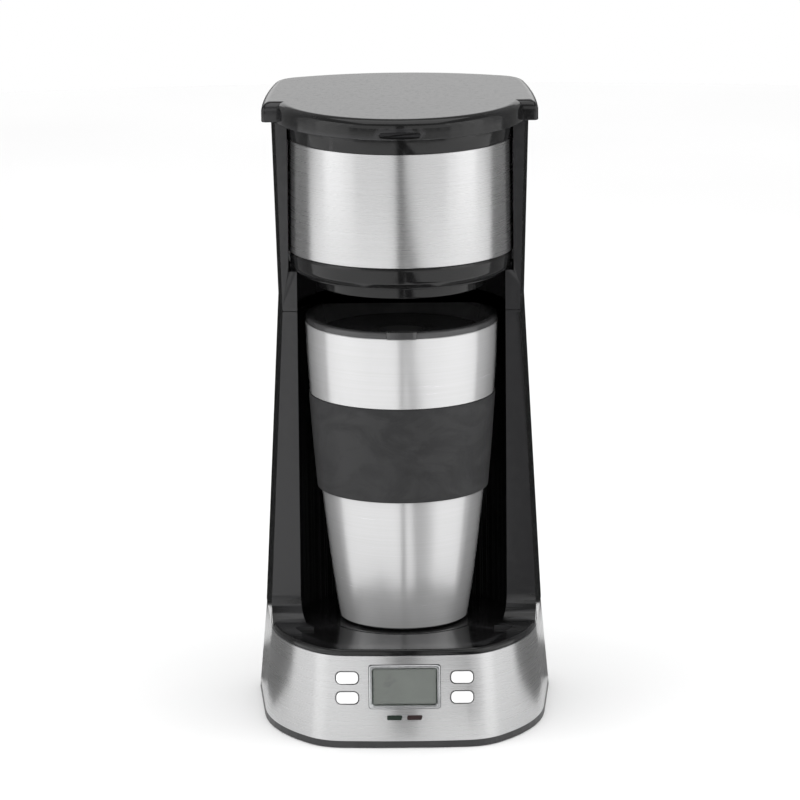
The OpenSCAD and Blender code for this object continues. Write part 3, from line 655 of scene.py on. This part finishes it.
def cut_panel(piece, slack):
    """Opens the piece for the display, the buttons and the two indicators."""
    shape = pill(LCD_W + slack / 2, LCD_H + slack / 2, 0.0014)
    combine(piece, on_panel("tool", 0, LCD_Z, [(-0.006, shape), (0.012, shape)]))
    for x, z in panel_places():
        shape = pill(BUTTON_W + slack, BUTTON_H + slack, 0.0027)
        combine(piece, on_panel("tool", x, z, [(-0.006, shape), (0.012, shape)]))
    for side in (-1, 1):
        shape = led_outline()
        combine(piece, on_panel("tool", side * LED_X, LED_Z, [(-0.006, shape), (0.012, shape)]))


def wall_loft(name, profile, k_at):
    """A ring-shaped wall round the plan: a closed profile of (outward shift, height)."""
    return loft(name, [level(plan(k_at(z), d), z) for d, z in profile], closed=True)


def steel_band(material):
    profile = rounded([(0, BAND_Z0), (0, BAND_Z1, 0.0005), (-STEEL_T, BAND_Z1), (-STEEL_T, BAND_Z0)],
                      0.0002, 4)
    piece = wall_loft("steel_band_brushed", profile, band_k)
    cut_panel(piece, 0.001)
    hole = arc((GLAND_X, GLAND_Z), GLAND_R, 0, 352.5, 47)
    combine(piece, loft("tool", [[(p.x, y, p.y) for p in hole] for y in (0.05, 0.1)]))
    soften(piece, 0.0001, 2)
    return finish_piece(piece, "housing", material, "brushed_steel", "steel_band")


def behind(y):
    return box_between("tool", (-FAR, y, -0.01), (FAR, FAR, FAR * 2))


def column_block(name, z0, z1, k_at, d=0.0, y=-COLUMN_Y):
    """The plan behind y, from z0 to z1; a tall block has rings close to its ends, for even shading."""
    steps = 8
    heights = [z0 + (z1 - z0) * i / steps for i in range(steps + 1)]
    if z1 - z0 > 0.02:
        heights = sorted(heights + [z0 + 0.0015, z1 - 0.0045, z1 - 0.0015])
    block = flared(name, [(z, k_at(z), d) for z in heights])
    return combine(block, behind(y), "INTERSECT")


def sweep_block():
    """The concave sweep from the column fronts forwards into the deck."""
    outline = [(-COLUMN_Y + 0.001, BAND_Z1 + 0.0002), (-COLUMN_Y + 0.001, DECK_Z + SWEEP_R)]
    centre = (-COLUMN_Y - SWEEP_R, DECK_Z + SWEEP_R)
    outline += [(p.x, p.y) for p in arc(centre, SWEEP_R, 0, -90, 24)]
    outline += [(-COLUMN_Y - SWEEP_R, BAND_Z1 + 0.0002)]
    block = loft("sweep", [[(x, y, z) for y, z in outline] for x in (-FAR / 2, FAR / 2)])
    top = RIM_Z + SWEEP_R
    return combine(block, flared("tool", [(BAND_Z1, RIM_K, -0.00005), (top, waist_k(top), 0)]), "INTERSECT")


def deck_outline(d):
    """Plan of the sunk deck: the rim outline in front, the niche circle behind."""
    front = plan(RIM_K, -RIM_W - d)
    y_end = -COLUMN_Y - SWEEP_R - d
    return front, y_end, NICHE_R - d


def deck_solid(name, d, z0, z1):
    front, y_end, radius = deck_outline(d)
    block = loft(name, [level(front, z) for z in (z0, z1)])
    block = combine(block, box_between("tool", (-FAR, -FAR, -1), (FAR, y_end, 1)), "INTERSECT")
    return combine(block, drum("tool", radius, z0, z1), "UNION")


def lower_body(material):
    skin = STEEL_T + 0.0001
    rim = [(BAND_Z1 + 0.00001, RIM_K, -0.0006), (BAND_Z1 + 0.0004, RIM_K, 0)]
    rim += [(RIM_Z - RIM_ROUND + RIM_ROUND * sin_d(a), RIM_K, -RIM_ROUND + RIM_ROUND * cos_d(a))
            for a in range(0, 91, 15)]
    piece = flared("lower_housing", [(BAND_Z0, BAND_K0, -skin), (BAND_Z1, BAND_K1, -skin)] + rim)
    combine(piece, column_block("tool", RIM_Z - 0.0022, WAIST_Z, waist_k), "UNION")
    combine(piece, sweep_block(), "UNION")
    top = BAND_Z1 - 0.0016
    combine(piece, flared("tool", [(0, BAND_K0, -skin - WALL), (top, band_k(top), -skin - WALL)]))
    hollow = column_block("tool", BAND_Z1 - 0.002, WAIST_Z + 0.001, waist_k, -WALL, WALL - COLUMN_Y)
    combine(hollow, drum("core", NICHE_R + WALL, 0, FAR * 2))
    combine(piece, hollow)
    combine(piece, drum("tool", NICHE_R, BAND_Z1, FAR * 2, 256))
    combine(piece, deck_solid("tool", 0, BAND_Z1, RIM_Z + 0.01))
    combine(piece, box_between("tool", (-0.037, -FAR, 0.008), (0.037, -0.062, 0.041)))
    gland = [high("cord_gland")[i] + low("cord_gland")[i] for i in (0, 2)]
    hole = drum("tool", GLAND_R, 0.06, 0.08, 48)
    upright = Matrix.Rotation(-math.pi / 2, 4, "X")
    hole.data.transform(Matrix.Translation((gland[0] / 2, 0, gland[1] / 2)) @ upright)
    combine(piece, hole)
    soften(piece, 0.0009, 4)
    return finish_piece(piece, "housing", material, "black_gloss", "lower_body")


def deck_plate(material):
    piece = deck_solid("deck", 0.0003, BAND_Z1, DECK_Z)
    low_z, high_z = DECK_Z - 0.0004, DECK_Z + 0.001
    groove = lathe("tool", [(0.0364, low_z), (0.0376, low_z), (0.0376, high_z), (0.0364, high_z)])
    combine(piece, groove)
    soften(piece, 0.0005, 3)
    return finish_piece(piece, "housing", material, "black_gloss", "deck_plate")


def display_pieces(chrome, window, display):
    frame_ring = on_panel("display_frame", 0, LCD_Z, [
        (0.004, display_outline(0, 0.0014)), (-0.0004, display_outline(0, 0.0014)),
        (-0.0008, display_outline(0.0008, 0.0012))])
    hole = on_panel("tool", 0, LCD_Z, [
        (-0.001, display_outline(0.0022, 0.001)), (0.0004, display_outline(0.0038, 0.0008)),
        (0.006, display_outline(0.0038, 0.0008))])
    combine(frame_ring, hole)
    soften(frame_ring, 0.00012, 2)
    finish_piece(frame_ring, "housing", chrome, "silver_frame", "lcd_frame")
    shape = display_outline(0.0040, 0.0008)
    pane = on_panel("display_pane", 0, LCD_Z, [
        (0.0002, display_outline(0.0043, 0.0007)), (0.0004, shape), (0.0013, shape)])
    smooth(pane, 30)
    finish_piece(pane, "housing", window, "display_window", "lcd_window")
    shape = display_outline(0.0040, 0.0006)
    core = display_outline(0.008, 0.0006)
    glass = on_panel("display_cell", 0, LCD_Z, [
        (0.0014, shape), (0.0044, shape), (0.0045, core), (0.0128, core)])
    smooth(glass, 30)
    finish_piece(glass, "housing", display, "display_grey", "lcd_module")


def button_caps(white):
    """Caps with a flange behind the panel and a rounded front."""
    stages = [(0.0071, 0.0012, 0.0008), (0.0061, 0.0012, 0.0008), (0.006, 0, 0), (-0.0003, 0, 0)]
    for a in range(15, 91, 15):
        inset = -0.0007 * (1 - cos_d(a))
        stages.append((-0.0003 - 0.0006 * sin_d(a), inset, inset))
    stages.append((-BUTTON_PROUD - 0.00008, -0.0022, -0.0022))
    rings = [(d, pill(BUTTON_W + 2 * w, BUTTON_H + 2 * h, max(0.0008, 0.0023 + min(w, 0)), 10))
             for d, w, h in stages]
    for label, side, z in (("program", -1, 1), ("hour", -1, 0), ("power", 1, 1), ("minute", 1, 0)):
        cap = on_panel("button_" + label + "_cap", side * BUTTON_X, BUTTON_Z[z], rings)
        smooth(cap, 40)
        finish_piece(cap, label + "_button", white, "white_plastic", "button_" + label)


def indicator(label, side, material, slot):
    lens = on_panel("indicator_" + label, side * LED_X, LED_Z, [
        (0.0036, led_outline()), (0.0001, led_outline()), (-0.00015, led_outline(-0.0002))])
    smooth(lens, 40)
    finish_piece(lens, "housing", material, slot, "led_lens_" + label)


# ---- Head --------------------------------------------------------------------------------------
def front_turn(name, profile, segments=160):
    """Turned ring that shows in front of the columns only."""
    edge = math.degrees(math.asin(GROOVE_Y / HEAD_R))
    return lathe(name, profile, segments, 180 + edge, 180 - 2 * edge)


def upper_body(material):
    drum_r = HEAD_R - STEEL_T - 0.0001
    neck_r = 0.0501
    gap_z = WAIST_Z + 0.00045
    piece = column_block("upper_housing", gap_z, BODY_TOP, top_k)
    combine(piece, column_block("tool", WAIST_Z, gap_z + 0.0001, top_k, -0.001, 0.001 - COLUMN_Y), "UNION")
    combine(piece, drum("tool", neck_r, HEAD_Z0, SLEEVE_Z0 + 0.001), "UNION")
    combine(piece, drum("tool", drum_r, SLEEVE_Z0, SLEEVE_Z1), "UNION")
    for side in (-1, 1):
        combine(piece, hinge_lug(side), "UNION")
    combine(piece, drum("tool", NICHE_R, 0, HEAD_Z0, 256))
    combine(piece, drum("tool", 0.0115, HEAD_Z0 - 0.001, HEAD_Z0 + 0.01, 64))
    combine(piece, drum("tool", WELL_R, WELL_Z, FAR * 2))
    combine(piece, drum("tool", neck_r, SHELF_Z, FAR * 2))
    for z0, z1, radius in ((WAIST_Z - 0.001, WELL_Z, NICHE_R + WALL),
                           (WELL_Z - 0.0001, BODY_TOP + 0.001, WELL_R + 0.0022)):
        hollow = column_block("tool", z0, z1, top_k, -WALL, WALL - COLUMN_Y)
        combine(hollow, drum("core", radius, 0, FAR * 2))
        combine(piece, hollow)
    for z0, z1, radius in ((HEAD_Z0 - 0.0001, SLEEVE_Z0, neck_r),
                           (SLEEVE_Z0 - 0.0001, SLEEVE_Z1 + 0.0001, drum_r),
                           (SLEEVE_Z1, BODY_TOP + 0.001, neck_r)):
        slot = front_turn("tool", [(radius, z0), (GROOVE_R, z0), (GROOVE_R, z1), (radius, z1)])
        combine(piece, slot)
    relief = box_between("tool", (-0.042, HINGE_Y - 0.0075, LID_Z - 0.0029), (0.042, FAR, FAR * 2))
    for side in (-1, 1):
        x = side * LUG_X
        combine(relief, box_between("core", (x - LUG_T / 2, 0, 0), (x + LUG_T / 2, FAR * 2, FAR * 3)))
    combine(piece, relief)
    for side in (-1, 1):
        combine(piece, across_x("tool", 0.00155, side * LUG_X - 0.01, side * LUG_X + 0.01))
    soften(piece, 0.0008, 3)
    return finish_piece(piece, "housing", material, "black_gloss", "upper_body")


WELL_R = 0.047
WELL_Z = 0.223
SHELF_Z = high("water_tank")[2]
LUG_X = (high("hinge_pins")[0] - 0.005)
LUG_R = 0.0036
LUG_T = 0.004
HINGE_Y = (high("hinge_pins")[1] + low("hinge_pins")[1]) / 2
HINGE_Z = (high("hinge_pins")[2] + low("hinge_pins")[2]) / 2


def across_x(name, radius, x0, x1):
    """A cylinder along X through the hinge axis."""
    ring = arc((HINGE_Y, HINGE_Z), radius, 0, 352.5, 47)
    return loft(name, [[(x, p.x, p.y) for p in ring] for x in (x0, x1)])


def hinge_lug(side):
    x = side * LUG_X
    lug = across_x("lug", LUG_R, x - LUG_T / 2, x + LUG_T / 2)
    stem = box_between("tool", (x - LUG_T / 2, HINGE_Y - LUG_R, LID_Z - 0.009),
                       (x + LUG_T / 2, HINGE_Y + LUG_R, HINGE_Z))
    return combine(lug, stem, "UNION")


def head_trim(steel, black):
    top_r = HEAD_R - 0.0003
    inner = HEAD_R - STEEL_T
    sleeve = front_turn("head_sleeve_brushed", rounded(
        [(inner, SLEEVE_Z0), (HEAD_R, SLEEVE_Z0, 0.0004),
         (top_r, SLEEVE_Z1, 0.0003), (inner - 0.0003, SLEEVE_Z1)],
        0.0001, 4), 200)
    smooth(sleeve)
    finish_piece(sleeve, "housing", steel, "brushed_steel", "head_steel_sleeve")
    collar = front_turn("head_collar", rounded(
        [(0.0501, SLEEVE_Z1 + 0.00005), (HEAD_R - 0.0003, SLEEVE_Z1 + 0.00005, 0.0004),
         (HEAD_R + 0.0001, BODY_TOP, 0.0006), (0.0501, BODY_TOP)], 0.0002, 4))
    smooth(collar)
    finish_piece(collar, "housing", black, "black_gloss", "head_top_ring")
    skirt_z = low("head_bottom_ring")[2]
    ring_r = HEAD_R - 0.0007
    shell = front_turn("head_lower_ring", rounded(
        [(0.0503, SLEEVE_Z0 - 0.00005), (0.0503, HEAD_Z0 + 0.0012), (0.0485, HEAD_Z0 - 0.0006),
         (ring_r - 0.0028, HEAD_Z0 - 0.0006, 0.001), (ring_r - 0.0004, HEAD_Z0 + 0.0022, 0.0028),
         (ring_r, SLEEVE_Z0 - 0.0016, 0.001), (ring_r - 0.0007, SLEEVE_Z0 - 0.00005, 0.0003)],
        0.0002, 6))
    smooth(shell)
    finish_piece(shell, "housing", black, "black_gloss", "head_bottom_ring")
    skirt = lathe("outlet_skirt", rounded(
        [(0.0413, skirt_z, 0.0008), (0.0413, HEAD_Z0 - 0.0022, 0.0006),
         (0.0495, HEAD_Z0 - 0.0016, 0.0004), (0.0495, HEAD_Z0),
         (0.0150, HEAD_Z0), (0.0150, HEAD_Z0 - 0.0026, 0.0006), (0.0280, HEAD_Z0 - 0.0026, 0.0015),
         (0.0375, HEAD_Z0 - 0.0008, 0.001), (0.0393, skirt_z, 0.0006)], 0.0003, 5))
    smooth(skirt)
    finish_piece(skirt, "housing", black, "black_gloss")


# ---- Lid ---------------------------------------------------------------------------------------
LOBE_R = 0.0599
LOBE_Y = -0.002
EAR_X = high("lid_shell")[0]
EAR_Y = -COLUMN_Y - 0.0005
EAR_TIP = 0.002
SIDE_R = 0.400
LID_CORNER = 0.016
BOW_R = 0.130
SIDE_C = Vector((EAR_X - SIDE_R, EAR_Y))
BOW_C = Vector((0, high("lid_shell")[1] - BOW_R))
LID_ROUND = 0.0042


def meet(a, ra, b, rb):
    """The point at distance ra from a and rb from b."""
    v = b - a
    along = (ra * ra - rb * rb + v.length_squared) / (2 * v.length)
    off = math.sqrt(ra * ra - along * along)
    return a + v.normalized() * along + Vector((-v.y, v.x)).normalized() * off


LID_C = meet(SIDE_C, SIDE_R - LID_CORNER, BOW_C, BOW_R - LID_CORNER)


def lid_plan(d):
    """Plan of the lid, moved inwards by d: round front lobe, ears over the columns, bowed rear."""
    ear = math.degrees(math.asin((EAR_Y + d - LOBE_Y) / (LOBE_R - d)))
    side, bow = heading(LID_C - SIDE_C), heading(LID_C - BOW_C)
    half = arc((0, LOBE_Y), LOBE_R - d, -89, ear, 48)
    half += arc((EAR_X - d - EAR_TIP, EAR_Y + d + EAR_TIP), EAR_TIP, -90, 0, 8)
    half += arc(SIDE_C, SIDE_R - d, 1, side, 10)
    half += arc(LID_C, LID_CORNER - d, side + 3, bow, 20)
    half += arc(BOW_C, BOW_R - d, bow + (90 - bow) * 0.2, 90 - (90 - bow) * 0.1, 6)
    return mirror_half(half)


def lid_block(name, stages):
    return loft(name, [level(lid_plan(d), LID_Z + z) for z, d in stages])


def lid_shell(material):
    stages = [(0, 0.0003), (0.0003, 0), (0.003, 0)]
    rise = LID_TOP - LID_Z - LID_ROUND
    stages += [(rise + LID_ROUND * sin_d(a), 0.0045 * (1 - cos_d(a))) for a in range(0, 91, 9)]
    piece = lid_block("lid_cover", stages)
    hollow = lid_block("tool", [(-0.001, 0.003), (0.0073, 0.003)])
    combine(hollow, box_between("core", (-FAR, -FAR, 0), (FAR, HINGE_Y - 0.0105, FAR * 2)), "INTERSECT")
    combine(piece, hollow)
    heel = box_between("tool", (-FAR / 2, HINGE_Y, LID_Z - 0.001), (FAR / 2, HINGE_Y + 0.02, HINGE_Z))
    combine(heel, across_x("core", 0.007, -FAR, FAR))
    combine(piece, heel)
    for side in (-1, 1):
        room = LUG_T / 2 + 0.0004
        x = side * LUG_X
        combine(piece, box_between("tool", (x - room, HINGE_Y - 0.0086, LID_Z - 0.001),
                                   (x + room, FAR, HINGE_Z + LUG_R + 0.0005)))
        combine(piece, box_between("tool", (x - room, HINGE_Y + LUG_R - 0.0002, LID_Z - 0.001),
                                   (x + room, FAR, LID_TOP + 0.01)))
    scoop = [(LOBE_Y - LOBE_R - 0.002, 0.0213, 0.0041), (LOBE_Y - LOBE_R + 0.0003, 0.0203, 0.0031),
             (LOBE_Y - LOBE_R + 0.0011, 0.0191, 0.0019)]
    combine(piece, loft("tool", [[(x, y, LID_Z + 0.0022 + z) for x, z in pill(w, h, h / 2 - 0.0001)]
                                 for y, w, h in scoop]))
    soften(piece, 0.0005, 3, 40)
    return finish_piece(piece, "lid", material, "black_gloss", "lid_shell")


# ---- Mug ---------------------------------------------------------------------------------------
MUG_Z0 = low("mug_shell")[2]
MUG_Z1 = high("mug_shell")[2]
GRIP_Z0 = low("mug_grip")[2]
GRIP_Z1 = high("mug_grip")[2]
CAP_Z = low("mug_lid_cap")[2] + 0.013
MOUTH_R = high("mug_shell")[0]
MUG_T = 0.0008


def through(points, steps):
    """A smooth line through points of (radius, height)."""
    before = [2 * a - b for a, b in zip(points[0], points[1])]
    after = [2 * a - b for a, b in zip(points[-1], points[-2])]
    line = [before] + [list(p) for p in points] + [after]
    out = []
    for a, b, c, d in zip(line, line[1:], line[2:], line[3:]):
        for i in range(steps):
            t = i / steps
            out.append(tuple(0.5 * (2 * q + (r - p) * t + (2 * p - 5 * q + 4 * r - s) * t * t
                                    + (3 * q - p - 3 * r + s) * t ** 3) for p, q, r, s in zip(a, b, c, d)))
    return out + [tuple(points[-1])]


def mug_shell(material):
    lower = through([(0.0310, MUG_Z0 + 0.0006), (0.0350, 0.075), (0.0393, GRIP_Z0 - 0.001)], 10)
    upper = through([(0.0446, GRIP_Z1 + 0.0004), (0.0457, 0.176), (MOUTH_R, MUG_Z1 - 0.0004)], 8)
    outside = [(0.0302, MUG_Z0)] + lower + [(0.0394, GRIP_Z0), (0.0438, GRIP_Z1)]
    outside += upper + [(MOUTH_R - 0.0003, MUG_Z1)]
    floor_z = MUG_Z0 + MUG_T
    inside = [(r - MUG_T, max(z, floor_z)) for r, z in reversed(outside)]
    piece = lathe("mug_shell_brushed", outside + inside + [(0, floor_z), (0, MUG_Z0)], 224)
    smooth(piece, 30)
    return finish_piece(piece, "mug", material, "brushed_steel", "mug_shell")


def mug_grip(material):
    top, foot = 0.0450, 0.0413
    belly = foot + (top - foot) * 0.55
    outside = through([(foot, GRIP_Z0), (belly, (GRIP_Z0 + GRIP_Z1) / 2), (top, GRIP_Z1)], 8)
    profile = rounded([(0.0394, GRIP_Z0), (*outside[0], 0.0005)] + [(*p, 0) for p in outside[1:-1]]
                      + [(*outside[-1], 0.0004), (0.0438, GRIP_Z1)], 0.00001, 5)
    piece = lathe("mug_grip_band", profile, 224)
    smooth(piece)
    return finish_piece(piece, "mug", material, "grey_rubber", "mug_grip")


def mug_lid(material):
    """Lid of the mug: a rolled rim with a thumb tab, a sloping dish and a funnel for the stream."""
    rim = [(MOUTH_R, 0, 0.0003), (MOUTH_R, 0.0029, 0.0011), (0.0431, 0.0029, 0.0009),
           (0.0413, 0.0014, 0.0003), (0.0412, 0.0007, 0.0002)]
    dish = [(0.0391, -0.0055, 0.0015), (0.0165, -0.0070, 0.003), (0.0120, -0.0086, 0.002)]
    funnel = [(0.0095, -0.0129, 0.0003), (0.0110, -0.0130, 0.0003), (0.0155, -0.0086, 0.0015)]
    plug = [(0.0398, -0.0086, 0.0005), (0.0398, -0.0052, 0.0003), (0.0404, -0.0044, 0.0003),
            (0.0436, 0, 0.0003)]
    shape = rim + dish + funnel + plug
    piece = lathe("mug_lid_cap", rounded([(r, CAP_Z + z, b) for r, z, b in shape], 0, 5), 192)
    tab = pill(0.0148, 0.0052, 0.0022)
    tab_y = 0.0014 - MOUTH_R
    thumb = loft("tool", [[(x, tab_y + y, CAP_Z + z) for x, y in tab]
                          for z in (0.0003, 0.0007, 0.0031, 0.0034)])
    combine(thumb, drum("core", 0.0445, CAP_Z - 0.001, CAP_Z + 0.01))
    combine(piece, thumb, "UNION")
    smooth(piece, 40)
    return finish_piece(piece, "mug_lid", material, "mug_plastic", "mug_lid_cap")


# ---- CAD nodes that show as they are -----------------------------------------------------------
def dress(material, width, *names):
    """Gives CAD nodes a material and small round edges."""
    for name in names:
        node = nodes[name]
        node.data.materials.clear()
        node.data.materials.append(material)
        soften(node, width, 2, 30)


def dress_inside():
    matte = moulded("black_matte", (0.02, 0.02, 0.021), 0.42, depth=0.000012)
    steel = turned_metal("plain_steel", (0.62, 0.62, 0.63), 0.26)
    dress(matte, 0.0003, "bottom_cover", "button_guide", "lid_liner", "brew_basket", "filter_frame",
          "water_spout", "cord_gland", "tact_switches", "power_parts")
    dress(steel, 0.00025, "cover_screws", "board_screws", "heater_bracket", "bracket_screws", "hose_clips",
          "check_ball", "riser_tube", "hinge_pins")
    dress(soft_rubber("dark_rubber", (0.014, 0.014, 0.014)), 0.0003, "rubber_feet", "mug_foot",
          "tank_seal", "mug_lid_seal")
    dress(moulded("white_valve", (0.7, 0.7, 0.68), 0.35), 0.0002, "thermostat", "thermal_fuse",
          "valve_body")
    dress(clear_plastic("clear_epoxy", (0.75, 0.8, 0.77)), 0.0001, "indicator_leds")
    dress(circuit_board("circuit_board"), 0.0001, "control_board", "power_board")
    dress(turned_metal("cast_aluminium", (0.5, 0.5, 0.5), 0.5, 350, 0.00005), 0.0006, "heater_block")
    dress(turned_metal("heating_rod", (0.16, 0.13, 0.11), 0.5, 500, 0.00003), 0.0002, "heater_element")
    dress(clear_plastic("silicone_hose", (0.72, 0.72, 0.7), 0.35, 0.5), 0.0001, "cold_hose", "hot_hose")
    dress(moulded("wire_brown", (0.13, 0.05, 0.02), 0.4), 0.0001, "mains_wires")
    dress(moulded("wire_grey", (0.3, 0.3, 0.3), 0.4), 0.0001, "panel_wires")
    dress(clear_plastic("smoke_plastic", (0.12, 0.12, 0.13), 0.12, 0.75), 0.0006, "water_tank")
    dress(filter_gauze("gold_mesh"), 0.0001, "filter_mesh")
    dress(moulded("mug_plastic_inner", (0.02, 0.02, 0.021), 0.3), 0.0003, "mug_liner")


# ---- The machine -------------------------------------------------------------------------------
black = gloss_black("black_gloss")
steel = brushed("brushed_steel")
lower_body(black)
deck_plate(black)
steel_band(steel)
display_pieces(turned_metal("silver_frame", (0.66, 0.67, 0.68), 0.2),
               clear_plastic("display_window", (0.86, 0.9, 0.86), 0.03),
               moulded("display_grey", (0.056, 0.064, 0.057), 0.3))
button_caps(moulded("white_plastic", (0.95, 0.95, 0.95), 0.25, coat=0.3))
indicator("left", -1, lens_plastic("green_lens", (0.008, 0.014, 0.01)), "green_lens")
indicator("right", 1, lens_plastic("red_lens", (0.016, 0.008, 0.008)), "red_lens")
upper_body(black)
head_trim(steel, black)
lid_shell(black)
mug_shell(brushed("satin_steel", 0.25, 0.65, 0.59, 0.65, 0.58))
mug_grip(grip_rubber("grey_rubber"))
mug_lid(moulded("mug_plastic", (0.042, 0.042, 0.043), 0.16, 0.03))
dress_inside()
make_camera()
make_studio()
